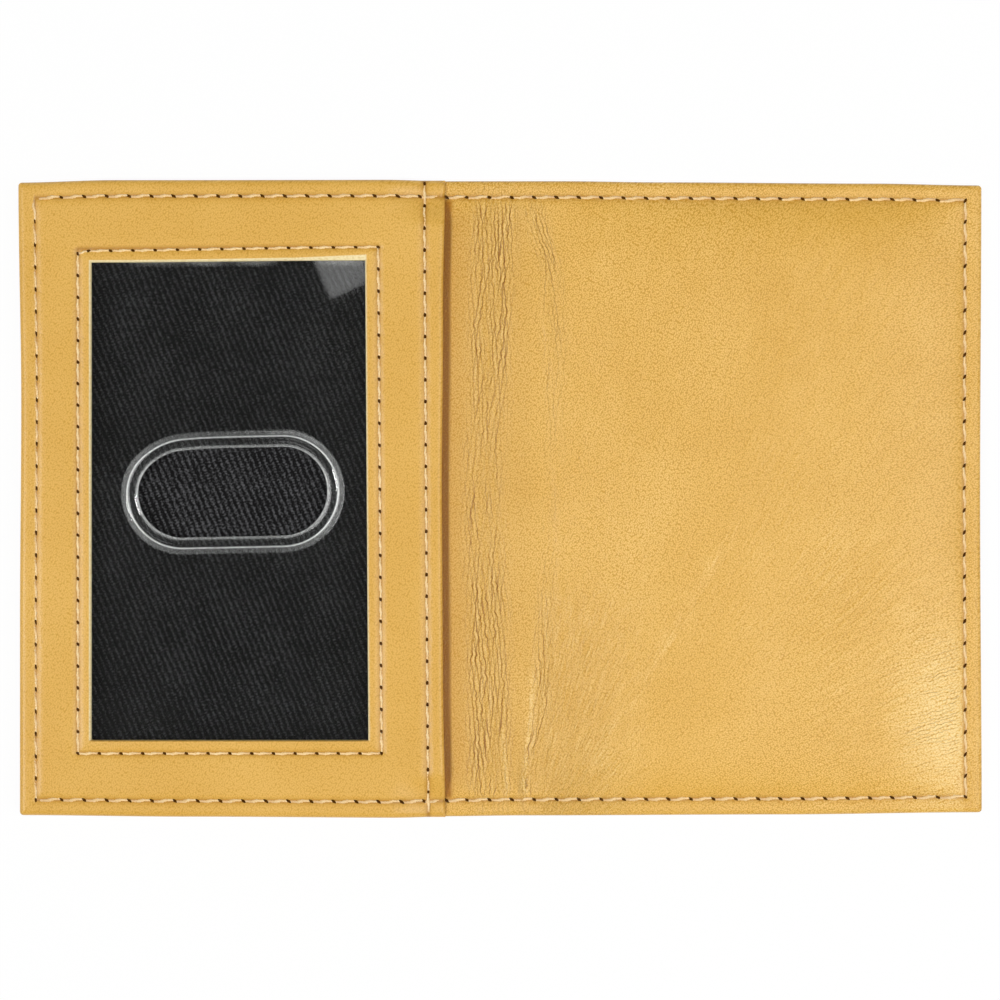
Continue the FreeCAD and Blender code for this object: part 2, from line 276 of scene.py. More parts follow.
def tanLeather(name, share):
    look = leatherLook
    material, add, shader = newMaterial(name)
    mark = {key: add("Attribute", attribute_name=key) for key in look["marks"]}
    # the place at rest, so that the grain stays on the hide when the wallet folds
    here = add("Attribute", attribute_name="hide").outputs["Vector"]
    cloud = add("TexNoise", {"Vector": here, "Scale": perMm(look["cloud"])})

    # pebbles, moved along by their height so that they aren't drawn into streaks on the edges
    up = add("SeparateXYZ", [here]).outputs["Z"]
    over = add("CombineXYZ", {"X": up, "Y": up})
    rolled = add("VectorMath", [over, look["overEdge"], here], **timesAdd)
    grains = []
    for angle in look["lays"]:
        along = add("Mapping", {"Vector": rolled, "Rotation": (0, 0, math.radians(-angle))})
        narrow = add("Mapping", {"Vector": along, "Scale": (look["drawnOut"], 1, 1)})
        cell = {"Vector": narrow, "Scale": perMm(look["pebble"])}
        grains.append(add("TexVoronoi", cell, voronoi_dimensions="2D"))
    cells = add("Mix", {"Factor": mark["drawn"], "A": grains[0], "B": grains[1]})
    grain = add("Math", [cells, *look["grainScale"]], **timesAdd)

    # rays, a noise in turn and distance
    middle, reach, gap, length = look["rays"]
    out = add("VectorMath", [here, [c * mm for c in middle]], operation="SUBTRACT")
    around = add("TexGradient", {"Vector": out}, gradient_type="RADIAL")
    away = add("VectorMath", [out], operation="LENGTH")
    polar = add("CombineXYZ", {"X": around, "Y": away})
    fan = add("Mapping", {"Vector": polar, "Scale": (2 * math.pi * reach / gap, perMm(length), 1)})
    rays = add("TexNoise", {"Vector": fan, "Scale": 1.0, "Detail": 1.5})
    rays = add("MapRange", {"Value": rays, "From Min": 0.4, "From Max": 0.68, "To Min": -0.5})
    rays = add("Math", [rays, mark["fanned"]], **times)

    tone = look["tone"] - look["grainMiddle"] * share
    for source, weight in ((cloud, look["cloudTone"]), (grain, share), (mark["rubbed"], look["rubTone"]),
                           (rays, look["rayTone"])):
        tone = add("Math", [source, weight, tone], **timesAdd)
    colour = add("ValToRGB", {"Fac": tone}, look["tones"])

    # hair creases, with painted shade in their lines: along the fold, and across the lower right where the
    # seam gathers the panel
    sway = add("TexNoise", {"Vector": here, "Scale": perMm(look["sway"]), "Detail": 1.5})
    reach = [c * mm for c in look["swayReach"]]
    swayed = add("VectorMath", [sway.outputs["Color"], reach, here], **timesAdd)
    wander = add("CombineXYZ", {"X": mark["bent"]})
    swayed = add("VectorMath", [wander, (-mm, 0, 0), swayed], **timesAdd)
    hairs, ridges = 0.0, 0.0
    ripples = add("Math", [rays, look["rayRelief"]], **times)
    for where, angle, gap, run in look["hairs"]:
        turned = add("Mapping", {"Vector": swayed, "Rotation": (0, 0, math.radians(-angle))})
        tall = add("Mapping", {"Vector": turned, "Scale": (1, gap / run, 1)})
        lines = add("TexWave", {"Vector": tall, "Scale": perMm(gap) * waveTurn, "Distortion": 5.0,
                                "Detail Scale": 1.4})
        thin = add("MapRange", {"Value": lines, "From Min": 0.85, "From Max": 1.0})
        # painted highlight: the ridges between the crease lines are made paler
        proud = add("MapRange", {"Value": lines, "From Min": 0.4, "From Max": 0.05})
        tufts = add("TexNoise", {"Vector": tall, "Scale": perMm(look["tuft"]), "Detail": 1.0})
        broken = add("MapRange", {"Value": tufts, "From Min": 0.4, "From Max": 0.6})
        kept = add("Math", [broken, mark[where]], **times)
        hairs = add("Math", [thin, kept, hairs], **timesAdd)
        ridges = add("Math", [proud, kept, ridges], **timesAdd)
        ripples = add("Math", [thin, mark[where], ripples], **timesAdd)

    # painted light over the tone: painted shade under the mouth, over the fold and by the seams, painted
    # highlight on the ridges, painted shade in the creases
    patchy = add("Math", [grain, *look["patchScale"]], **timesAdd)
    for key, amount, weight in (("handled", mark["handled"], patchy), ("ridge", ridges, look["ridgeTint"]),
                                ("crease", hairs, look["hairTint"])):
        cover = add("Math", [amount, weight], use_clamp=True, **times)
        colour = add("Mix", {"Factor": cover, "A": colour, "B": hexColour(look[key])}, data_type="RGBA")
    waxed, dry = look["roughness"]
    rough = add("MapRange", {"Value": grain, "To Min": waxed, "To Max": dry})
    sleek = add("Math", [mark["rubbed"], look["rubSleek"], rough], **timesAdd)
    skin = add("Bump", {"Height": grain, "Strength": 0.8, "Distance": look["grainHeight"] * share * mm})
    crack = {"Height": ripples, "Normal": skin, "Distance": look["hairDepth"] * mm}
    split = add("Bump", crack, invert=True)
    feed(shader, {"Base Color": colour, "Roughness": sleek, "Normal": split})
    return material


# a stuff whose tone and relief come from one pattern; relief is its strength and height
def fibrous(name, size, detail, tones, roughness, relief=None, pattern="TexNoise", sunk=None, **more):
    material, add, shader = newMaterial(name)
    here = add("TexCoord").outputs["Object"]
    fibre = add(pattern, {"Vector": here, "Scale": perMm(size), "Detail": detail})
    colour = add("ValToRGB", {"Fac": fibre}, tones)
    # painted shade: the thread is darker where it sinks into the seam
    if sunk:
        deep = add("Attribute", attribute_name="sunk")
        colour = add("Mix", {"Factor": deep, "A": colour, "B": hexColour(sunk)}, data_type="RGBA")
    if relief:
        rub = add("Bump", {"Height": fibre, "Strength": relief[0], "Distance": relief[1] * mm})
        feed(shader, {"Normal": rub})
    feed(shader, {"Base Color": colour, "Roughness": roughness, **more})
    return material


# black cotton twill: steep ribs that run down to the right, about 1 mm apart, with a finer yarn across them
twillLook = {
    "rib": 0.94,
    "yarn": 0.46,
    "slope": 23.0,
    "fade": 7.0,
    "lint": 0.3,
    "relief": 0.12,
    # least tone, and what lint, weave and fade add to it
    "tone": -1.0,
    "weights": (1.9, 0.5, 0.5),
    "tones": ((0.28, "#040404"), (0.6, "#2F2F30"), (1.0, "#525254")),
}


def blackTwill():
    look = twillLook
    material, add, shader = newMaterial("blackCottonTwill")
    here = add("TexCoord").outputs["Object"]
    turned = add("Mapping", {"Vector": here, "Rotation": (0, 0, math.radians(-look["slope"]))})
    fade, lint = (add("TexNoise", {"Vector": here, "Scale": perMm(look[key])}) for key in ("fade", "lint"))
    ribs = add("TexWave", {"Vector": turned, "Scale": perMm(look["rib"]) * waveTurn, "Distortion": 1.2,
                           "Detail Scale": 2.0})
    yarn = add("TexWave", {"Vector": turned, "Scale": perMm(look["yarn"]) * waveTurn, "Distortion": 2.0,
                           "Detail": 1.0}, bands_direction="Y")
    cloth = add("Math", [yarn, 0.5, 0.8], **timesAdd)
    both = add("Math", [ribs, cloth], **times)
    tone = look["tone"]
    for source, weight in zip((lint, both, fade), look["weights"]):
        tone = add("Math", [source, weight, tone], **timesAdd)
    weave = add("Bump", {"Height": both, "Strength": 0.9, "Distance": look["relief"] * mm})
    feed(shader, {"Base Color": add("ValToRGB", {"Fac": tone}, look["tones"]), "Normal": weave,
                  "Roughness": 0.85, "Specular IOR Level": 0.2})
    return material


# clear pressed vinyl: glossy and thin, milky where heat sealed the rim of the slot, with a painted reflection
# along the window's top
vinylLook = {"tint": "#F4F6F4", "haze": 0.5, "smear": 9.0, "smearBand": (1.1, 0.2), "smearMost": 0.13}


def clearVinyl():
    look = vinylLook
    material, add, shader = newMaterial("clearVinylFilm")
    here = add("TexCoord").outputs["Object"]
    seal = add("Attribute", attribute_name="sealed")
    haze = add("TexNoise", {"Vector": here, "Scale": perMm(look["haze"]), "Detail": 3.0})
    patchy = add("MapRange", {"Value": haze, "From Min": 0.3, "From Max": 0.7, "To Min": 0.6, "To Max": 1.3})
    # painted reflection: a faint milky streak along the window's top stands for the glint off the film's edge
    up = add("SeparateXYZ", [here]).outputs["Y"]
    start, end = ((window["top"] - inset) * mm for inset in look["smearBand"])
    near = add("MapRange", {"Value": up, "From Min": start, "From Max": end, "To Max": look["smearMost"]})
    smear = add("TexNoise", {"Vector": here, "Scale": perMm(look["smear"]), "Detail": 1.0})
    smear = add("MapRange", {"Value": smear, "From Min": 0.45, "From Max": 0.62})
    edge = add("Math", [near, smear], **times)
    milk = add("Math", [seal, patchy, edge], use_clamp=True, **timesAdd)
    rough = add("Math", [seal, 0.25, 0.02], **timesAdd)
    through = add("Math", [1.0, milk], operation="SUBTRACT")
    feed(shader, {"Base Color": hexColour(look["tint"]), "Roughness": rough, "IOR": 1.5,
                  "Transmission Weight": through})
    return material


# the card frame is of smoother hide, which shows half of the grain
leather, smoothLeather = tanLeather("waxedCalfLeather", 1.0), tanLeather("waxedCalfSmooth", 0.5)
twill, vinyl = blackTwill(), clearVinyl()
# the same hide where a knife has cut it: pale, matt and fibrous
rawEdge = fibrous("rawCutLeather", 0.3, 4.0, ((0.3, "#E3CB8C"), (0.6, "#F6E5B4")), 0.85, (0.5, 0.05))
# needle holes are punched through the hide; the dark brown in them is painted shade for the shadow inside the
# hole
hole = fibrous("punchedLeather", 0.2, 2.0, ((0.3, "#331B02"), (0.7, "#603A08")), 0.9,
               **{"Specular IOR Level": 0.1})
# bonded polyester thread: two plies, slight silk, cream with a peach cast, and painted shade in brown where
# it sinks into the seam
thread = fibrous("bondedPolyesterThread", 0.25, 3.0, ((0.25, "#EBC37E"), (0.5, "#FFE0A4"), (0.75, "#FFF0C0")),
                 0.6, (0.4, 0.04), sunk="#C8935A", **{"Sheen Weight": 0.2})
# grey pressed fibre board and pale open foam, hidden inside the halves
board = fibrous("pressedFibreBoard", 0.8, 5.0, ((0.3, "#7E6A50"), (0.7, "#A48E6F")), 0.9)
foam = fibrous("polyurethaneFoam", 0.7, 0.0, ((0.1, "#E6E2D6"), (0.8, "#B9B4A6")), 0.95, (0.6, 0.2),
               "TexVoronoi")
print("materials ready:", len(bpy.data.materials))


def place(name, data):
    thing = bpy.data.objects.new(name, data)
    bpy.context.scene.collection.objects.link(thing)
    return thing


def store(mesh, key, values):
    kind, field = ("FLOAT", "value") if values.ndim == 1 else ("FLOAT_VECTOR", "vector")
    mesh.attributes.new(key, kind, "POINT").data.foreach_set(field, values.ravel().astype(np.float32))


def smooth(mesh):
    mesh.shade_smooth()
    mesh.set_sharp_from_angle(angle=math.radians(50))


# closed sheet from a grid: a top and a bottom height, with walls round every edge
def shell(name, xs, ys, top, bottom, lay, keep=None, materials=(leather,), pick=None, marks=None):
    x, y = np.meshgrid(xs, ys, indexing="ij")
    middles = np.stack(np.meshgrid((xs[1:] + xs[:-1]) / 2, (ys[1:] + ys[:-1]) / 2, indexing="ij"), -1)
    kept = np.ones(middles.shape[:2], bool) if keep is None else keep(middles[..., 0], middles[..., 1])
    flat = lay(x, y)
    points = np.concatenate([np.stack([*flat, z], -1).reshape(-1, 3) for z in (top(x, y), bottom(x, y))])
    number, under = np.arange(x.size).reshape(x.shape), x.size
    a, b, c, d = number[:-1, :-1], number[1:, :-1], number[1:, 1:], number[:-1, 1:]
    faces = [np.stack([a, b, c, d], -1)[kept], np.stack([d, c, b, a], -1)[kept] + under]
    spots = [middles[kept]] * 2
    full = np.pad(kept, 1)
    for one, two, beside in ((a, b, full[1:-1, :-2]), (b, c, full[2:, 1:-1]), (c, d, full[1:-1, 2:]),
                             (d, a, full[:-2, 1:-1])):
        edge = kept & ~beside
        faces.append(np.stack([two, one, one + under, two + under], -1)[edge])
        spots.append(middles[edge])
    spots = np.concatenate(spots)
    used, corners = np.unique(np.concatenate(faces), return_inverse=True)
    mesh = bpy.data.meshes.new(name)
    mesh.from_pydata((points[used] * mm).tolist(), [], corners.reshape(-1, 4).tolist())
    for material in materials:
        mesh.materials.append(material)
    if pick is not None:
        wall = np.arange(len(spots)) >= 2 * int(kept.sum())
        mesh.polygons.foreach_set("material_index", pick(spots[:, 0], spots[:, 1], wall).astype(np.int32))
    store(mesh, "hide", points[used] * mm)
    for key, value in (marks or {}).items():
        store(mesh, key, np.concatenate([value(x, y).ravel()] * 2)[used])
    smooth(mesh)
    print(name, len(mesh.polygons), "faces")
    return place(name, mesh)


def asCut(x, y):
    return x, y


# stitch places of a straight row, in flat mm: middles, the way to the next hole, and the turn of that hole
def rowMiddles(start, end, pitch, turn=0.0):
    start, end = np.array(start, float), np.array(end, float)
    count = max(1, round(np.linalg.norm(end - start) / pitch))
    share = (np.arange(count) + 0.5) / count
    step = (end - start) / count
    return start + share[:, None] * (end - start), np.repeat(step[None], count, 0), np.full(count, turn)


def joinRows(*rows):
    return tuple(np.concatenate(parts) for parts in zip(*rows))


# stitches along the top or bottom edge, in step with the middle of the wallet
def edgeRow(low, high, y, turn, way=1):
    pitch = seams["edgePitch"]
    middles = np.arange(math.ceil(low / pitch), math.floor(high / pitch) + 1) * pitch
    count = len(middles)
    step = np.repeat([[pitch * way, 0]], count, 0)
    return np.stack([middles, np.full(count, y)], -1), step, np.full(count, turn)


firstX = 1.7 - seamX
lastX = (math.floor((seamX - 2.5) / seams["edgePitch"]) + 0.5) * seams["edgePitch"]
pocketEdge = joinRows(
    edgeRow(firstX, mouthX - 1.0, seamY, -0.5),
    edgeRow(firstX, mouthX - 1.0, -seamY, -0.6),
    rowMiddles((-seamX, seamY), (-seamX, -seamY), seams["edgePitch"], 0.25),
)
foldEdge = joinRows(edgeRow(mouthX - 0.5, 0.1, seamY, -0.25), edgeRow(mouthX - 0.5, 0.1, -seamY, -0.5))
badgeEdge = joinRows(
    edgeRow(2.0, lastX, -seamY, -0.5),
    rowMiddles((lastX, -seamY), (seamX, -seamY), 5.0, -0.5),
    rowMiddles((seamX, -seamY), (seamX, seamY), seams["edgePitch"], -0.5),
    rowMiddles((seamX, seamY), (lastX, seamY), 5.0, -0.4),
    edgeRow(2.0, lastX, seamY, -0.4, way=-1),
)
# one stitch cuts across the window's top left corner
cornerA, cornerB = (sewnLeft, sewnTop - 0.75), (sewnLeft + 1.65, sewnTop - 0.3)
windowRow = joinRows(
    rowMiddles((sewnLeft, sewnBottom), cornerA, seams["windowPitch"], 0.5),
    rowMiddles(cornerA, cornerB, 3.0),
    rowMiddles(cornerB, (sewnRight, sewnTop), seams["windowPitch"], -0.4),
    rowMiddles((sewnRight, sewnTop), (sewnRight, sewnBottom), seams["windowPitch"], 0.4),
    rowMiddles((sewnRight, sewnBottom), (sewnLeft, sewnBottom), seams["windowPitch"], -0.4),
)
mouthRow = rowMiddles((hemX, 0.6 - halfHeight), (hemX, halfHeight - 0.6), seams["mouthPitch"])


# how far the leather is drawn down at the needle holes of some rows
def dimples(x, y, depth, *rows):
    width, total = seams["holeWidth"], np.zeros(np.shape(x))
    middles, steps, _ = joinRows(*rows)
    for hx, hy in middles + steps / 2:
        close = (abs(x - hx) < 3 * width) & (abs(y - hy) < 3 * width)
        total += np.where(close, bump(np.hypot(x - hx, y - hy), width), 0)
    return depth * total


# card frame: turned edges on three sides, a hemmed free side, a window cut at a slant
cardFrame = {
    "step": 0.62,
    "edgeRoll": 1.0,
    "mouthRoll": 0.62,
    "underRoll": 0.9,
    "underMouthRoll": 0.35,
    "seamDip": 0.18,
    "seamWidth": 0.55,
    # width of the painted shade along the frame's seams
    "seamWear": 0.36,
    "holeDip": 0.18,
    "belly": 0.06,
    "thin": 0.3,
    "hemWidth": 5.7,
    "stepRun": 0.4,
    "cutLeft": 0.3,
    "cutRight": 0.22,
    "cutTop": 0.32,
    "cutTopMore": ((-66.5, 0.0), (-50, 0.0), (-32, 0.12), (-20.5, 0.58)),
    "cutTopReach": 1.9,
    "cutBottom": 0.04,
    "cutDrop": 0.3,
    "cutNear": (23.3, 39.8),
    # the ends of the mouth are pressed flat: how far down, and from where in y and x
    "press": 1.6,
    "pressY": (43.5, 4.5),
    "pressX": (mouthX - 9, 8.5),
    # it was sewn on with its free side leaning a little
    "lean": -0.34,
    "bow": ((-51, 0.0), (-30, -0.2), (0, -0.18), (30, 0.2), (51, 0.62)),
    "bowReach": 3.2,
}


def leaned(x, y):
    f = cardFrame
    lean = f["lean"] * y / halfHeight * rise(x, window["left"], 36)
    bow = softCurve(y, f["bow"]) * rise(x, mouthX - f["bowReach"], f["bowReach"])
    wedge = np.interp(x, *zip(*f["cutTopMore"])) * rise(x, window["left"] - 2.5, 2)
    wedge = wedge * fall(x, window["right"] + 2.5, 2)
    lift = np.interp(y - window["top"], (0, f["cutTop"], f["cutTopReach"]), (0, 1, 0))
    skew = f["lean"] * fall(x, window["right"], 46) * rise(y, 0, 36) * fall(y, seamY - 0.5, 6)
    return pulled(x + lean + bow, y + wedge * lift + skew)


# 0 at the window's edge, 1 where the cut meets the face of the leather
def windowCut(x, y):
    f, w = cardFrame, window
    sides = ((w["left"] - x) / f["cutLeft"], (x - w["right"]) / f["cutRight"], (y - w["top"]) / f["cutTop"],
             (w["bottom"] - y) / f["cutBottom"])
    return np.clip(np.max(sides, axis=0), 0, 1)


# 1 on every seam of the frame, fading out sideways
def frameSewn(x, y, width):
    inX = (x > sewnLeft - 0.2) & (x < sewnRight + 0.2)
    inY = (y > sewnBottom - 0.2) & (y < sewnTop + 0.2)
    across = np.where(inX, np.maximum(bump(y - sewnTop, width), bump(y - sewnBottom, width)), 0)
    upright = np.where(inY, np.maximum(bump(x - sewnLeft, width), bump(x - sewnRight, width)), 0)
    return np.max([sewnEdge(x, y, -seamX, width), across, upright, bump(x - hemX, width)], axis=0)


# painted shade: a thin darker line along the frame's seams stands for the shade in their grooves
def frameWorn(x, y):
    return 0.75 * frameSewn(x, y, cardFrame["seamWear"])


def frameTop(x, y):
    f = cardFrame
    inset, sewn = fromEdge(x, y), frameSewn(x, y, f["seamWidth"])
    z = frameHigh[2] - rollDrop(inset, f["edgeRoll"]) - rollDrop(mouthX - x, f["mouthRoll"])
    z = z - f["seamDip"] * sewn
    z = z + f["belly"] * (1 - sewn) * ease(inset / 4) * (0.5 + 0.5 * swell(x, y, 14, 5))
    z = z - dimples(x, y, f["holeDip"], pocketEdge, windowRow, mouthRow)
    z = z - f["press"] * rise(abs(y), *f["pressY"]) * rise(x, *f["pressX"])
    return z - f["cutDrop"] * (1 - windowCut(x, y)) ** 1.5


def frameBottom(x, y):
    f = cardFrame
    turn = np.maximum(rise(abs(y), filmHigh[1] - 0.1, f["stepRun"]), fall(x, filmLow[0] + 0.1, f["stepRun"]))
    z = turnHigh[2] + (frameLow[2] - turnHigh[2]) * rise(x, mouthX - f["hemWidth"], f["stepRun"])
    z = z + (turnLow[2] + clear - z) * turn
    z = z + rollDrop(fromEdge(x, y), f["underRoll"]) + rollDrop(mouthX - x, f["underMouthRoll"])
    return np.minimum(z, np.maximum(frameTop(x, y) - f["thin"], foldHigh[2] + 0.05))


def frameHole(cx, cy):
    w = window
    return ~((cx > w["left"]) & (cx < w["right"]) & (cy > w["bottom"]) & (cy < w["top"]))


def framePick(cx, cy, wall):
    nearX, nearY = cardFrame["cutNear"]
    inner = (abs(cx - (window["left"] + window["right"]) / 2) < nearX) & (abs(cy) < nearY)
    return np.where((windowCut(cx, cy) < 0.97) | (wall & inner), 1, 0)


frameXs = gridLines(
    [-halfWidth, window["left"] - cardFrame["cutLeft"], window["left"], window["right"],
     window["right"] + cardFrame["cutRight"], mouthX], cardFrame["step"],
    [(-halfWidth, 2.0, 0.06), (-seamX, 1.6, 0.22), (sewnLeft, 1.6, 0.22), (window["left"], 1.2, 0.12),
     (window["right"], 0.8, 0.12), (sewnRight, 1.6, 0.22), (hemX, 1.6, 0.22), (mouthX, 1.8, 0.05)],
)
frameYs = gridLines(
    [-halfHeight, window["bottom"], window["top"], window["top"] + cardFrame["cutTop"], halfHeight],
    cardFrame["step"],
    [(-halfHeight, 2.0, 0.06), (-seamY, 1.6, 0.22), (sewnBottom, 1.6, 0.22), (window["bottom"], 0.8, 0.12),
     (window["top"], 1.6, 0.1), (sewnTop, 1.6, 0.22), (seamY, 1.6, 0.22), (halfHeight, 2.0, 0.06)],
)
frameSheet = shell(
    "cardFrame", frameXs, frameYs, frameTop, frameBottom, leaned, frameHole,
    (smoothLeather, rawEdge), framePick, {"handled": frameWorn},
)
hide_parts("id_frame", "id_frame_turned_edge")
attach(frameSheet, "id_half")


# inner leather: from under the pocket's mouth, over the fold, to the padded badge panel
innerLeather = {
    "crownStart": 6.5,
    "crownRise": 14.0,
    "crownReach": 4.2,
    "crownReachRight": 6.2,
    "seamDip": 0.2,
    "seamWidth": 0.6,
    # width of the painted shade along the edge seam
    "seamWear": 0.38,
    "holeDip": 0.18,
    "edgeRoll": 0.85,
    "underRoll": 0.4,
    "thin": 0.3,
    "mouthRise": 0.5,
    "slack": 0.04,
    "fineSlack": 0.008,
    "start": -14.0,
    "step": 0.66,
    "foldStep": 0.6,
}

# creases of the fold, top to bottom: place in x at the top, middle and bottom, depth and width
foldCreases = (
    (-5.2, -4.6, -4.9, 0.05, 0.34), (-3.4, -3.5, -3.7, 0.08, 0.36), (-2.6, -2.7, -2.4, 0.10, 0.36),
    (-1.5, -1.2, -1.6, 0.09, 0.34), (-0.2, -0.3, 0.1, 0.10, 0.36), (0.9, 0.6, 1.0, 0.07, 0.34),
    (2.0, 1.7, 2.2, 0.06, 0.40), (5.2, 8.2, 4.0, 0.10, 0.45), (6.6, 9.2, 5.4, 0.08, 0.50),
)

# where hair cracks show: a wide band over the first crease, a narrow one that wanders beside the second
crackBands = {
    "first": ((-48, -1.7), (-24, -2.0), (0, -2.8), (26, -1.6), (48, -0.9)),
    "firstWidth": 4.7,
    "firstSoft": 3.0,
    "firstFade": ((-50, 1.0), (-22, 1.0), (-8, 0.75), (12, 0.65), (24, 0.95), (50, 1.0)),
    "second": ((-48, 4.0), (-32, 6.6), (-16, 7.4), (8, 8.6), (26, 8.7), (35, 8.2), (48, 5.4)),
    "secondWidth": 1.5,
    "secondFade": ((-50, 1.0), (-30, 0.9), (-5, 0.25), (12, 0.3), (28, 0.7), (50, 1.0)),
}

# pull wrinkles in the panel: from x, y to x, y, depth and width
panelWrinkles = (
    (9.5, -44.0, 17.0, -28.0, 0.06, 0.9), (11.5, -45.0, 21.0, -30.0, 0.06, 1.0),
    (8.5, -38.0, 15.0, -22.0, 0.06, 0.8), (14.0, -45.5, 26.0, -33.0, 0.05, 1.0),
    (8.5, -28.0, 13.0, -14.0, 0.05, 0.8), (1.9, -60.0, 6.2, -22.0, -0.16, 0.5),
    (2.8, -60.0, 7.2, -22.0, 0.1, 0.3), (3.6, 60.0, 9.4, 24.0, 0.1, 0.3),
    (14.0, -43.0, 40.0, 1.0, -0.05, 0.6), (57.0, -26.0, 73.5, -28.5, 0.04, 0.8),
    (56.0, -31.0, 73.5, -32.5, 0.05, 0.8), (58.0, -36.0, 73.5, -36.5, 0.05, 0.8),
    (60.0, -40.5, 73.5, -40.0, 0.05, 0.8), (62.0, -44.0, 72.5, -43.5, 0.04, 0.8),
)

# marks on the panel: the mouth's edge, whose shadow is painted over the fold, two rubbed ridges with painted
# highlights, and one long pull line up the panel
panelWear = {
    "mouth": ((-51, 0.3), (-30, 0.0), (0, -0.18), (30, 0.0), (51, 0.3)),
    "longRidge": ((-48, 3.7), (-31, 5.0), (-22, 6.0)),
    "shortRidge": ((-48, 1.0), (-36, 0.4)),
    "pullFoot": (13.0, -46.0),
    "pullWay": (28.6, 49.0),
}


def creaseDepth(x, y):
    total = np.zeros(np.shape(x))
    rng = np.random.default_rng(21)
    for topX, midX, lowX, depth, width in foldCreases:
        line = softCurve(y, ((-51, lowX), (0, midX), (51, topX)))
        for wave in (23.0, 9.0, 4.2):
            line = line + 0.013 * wave * np.sin(y * 2 * math.pi / wave + rng.uniform(0, 6.3))
        strength = 0.62 + 0.38 * np.sin(y * 2 * math.pi / rng.uniform(14, 34) + rng.uniform(0, 6.3))
        total += depth * strength * (bump(x - line, width) - 0.45 * bump(x - line - 1.7 * width, width))
    return total


def wrinkleDepth(x, y):
    total = np.zeros(np.shape(x))
    for x0, y0, x1, y1, depth, width in panelWrinkles:
        run = np.array([x1 - x0, y1 - y0])
        t = ((x - x0) * run[0] + (y - y0) * run[1]) / (run @ run)
        off = ((x - x0) * run[1] - (y - y0) * run[0]) / np.linalg.norm(run)
        off = off + 0.5 * np.sin(t * 5 + x0)
        along = ease(t / 0.3) * ease((1 - t) / 0.4)
        total += depth * along * (bump(off, width) - 0.5 * bump(off - 1.8 * width, width))
    return total


# 0 at a seam, towards 1 further in
def inside(distance, reach=innerLeather["crownReach"]):
    return 1 - np.exp(-np.clip(distance - 0.6, 0, None) / reach)


def crown(x, y):
    s = innerLeather
    left = 1 - np.exp(-(np.clip(x - s["crownStart"], 0, None) / s["crownRise"]) ** 1.7)
    return inside(seamY - abs(y)) * inside(seamX - x, s["crownReachRight"]) * left


def innerTop(x, y):
    s = innerLeather
    inset, within = fromEdge(x, y), inside(seamY - abs(y))
    z = foldHigh[2] - rollDrop(inset, s["edgeRoll"]) + (panelHigh[2] - foldHigh[2]) * crown(x, y)
    z = z + s["mouthRise"] * within * fall(x, 2, 9) - s["seamDip"] * sewnEdge(x, y, seamX, s["seamWidth"])
    z = z - dimples(x, y, s["holeDip"], foldEdge, badgeEdge)
    z = z + s["slack"] * within * swell(x, y, 16, 8) * ease(inset / 5)
    z = z + s["fineSlack"] * swell(x, y, 5, 4) * ease(inset / 3)
    return z - (creaseDepth(x, y) * (0.4 + 0.6 * within) + wrinkleDepth(x, y)) * ease(inset / 1.5)


# the leather is pared thinner where it climbs over the board and the foam
def innerBottom(x, y):
    s = innerLeather
    inset = fromEdge(x, y)
    z = foldLow[2] + clear + (panelHigh[2] - foldHigh[2]) * crown(x, y) ** 0.6
    z = z + rollDrop(inset, s["underRoll"])
    return np.minimum(z, innerTop(x, y) - np.minimum(0.03 + 0.4 * inset, s["thin"]))


def creased(x, y):
    c = crackBands
    away = abs(x - softCurve(y, c["first"]))
    first = fall(away, c["firstWidth"], c["firstSoft"]) * softCurve(y, c["firstFade"])
    second = bump(x - softCurve(y, c["second"]), c["secondWidth"]) * softCurve(y, c["secondFade"])
    return np.clip(np.maximum(first, second), 0, 1) * (0.25 + 0.75 * fall(abs(y), seamY - 0.2, 1.5))


# how far the creases have wandered sideways
def bent(x, y):
    right = rise(x, 2.2, 2.0)
    return softCurve(y, crackBands["first"]) * (1 - right) + softCurve(y, crackBands["second"]) * right


# the grain's lay turns towards the far corner
def drawn(x, y):
    return rise(x - 0.3 * y, 22, 40)


def nearPull(x, y, width):
    (fx, fy), (wx, wy) = panelWear["pullFoot"], panelWear["pullWay"]
    along = np.clip(((x - fx) * wx + (y - fy) * wy) / (wx * wx + wy * wy), 0, 1)
    return bump(np.hypot(x - fx - wx * along, y - fy - wy * along), width) * fall(along, 1.05, 0.4)


# where the rays show: low beside the fold, on the pull line, in the lower right corner, faintly all over
def fanned(x, y):
    low = rise(x, 4, 4) * fall(x, 30, 16) * fall(y, -8, 14)
    corner = 0.5 * rise(x, 42, 10) * fall(y, 4, 16)
    shown = np.max([low, nearPull(x, y, 1.6), corner, 0.25 * rise(x, 6, 6)], axis=0)
    return shown * fall(x, seamX, 3)


# painted shade: a dark shadow strip under the mouth, a shade over the fold, and a thin shaded line on both
# sides of the edge seam
def handled(x, y):
    edge = mouthX + softCurve(y, panelWear["mouth"])
    strip = fall(x, edge + 1.4, 0.55) * rise(x, edge - 1.6, 0.5) * fall(abs(y), seamY + 0.1, 0.9)
    shade = 0.14 * fall(x, edge + 5.5, 4) + 0.1 * fall(x, 7, 4)
    shade = shade + 0.06 * fall(x, 26, 14) * fall(y, -8, 14) * rise(x, 4, 4)
    shade = shade * fall(abs(y), seamY, 4)
    return np.max([strip, shade, 0.7 * sewnEdge(x, y, seamX, innerLeather["seamWear"])], axis=0)


# the seam gathers the panel into fine puckers along its lower right side
def puckered(x, y):
    return 0.65 * rise(x, 56, 14) * bump(y + 34, 14) * fall(x, seamX - 0.6, 1.0)


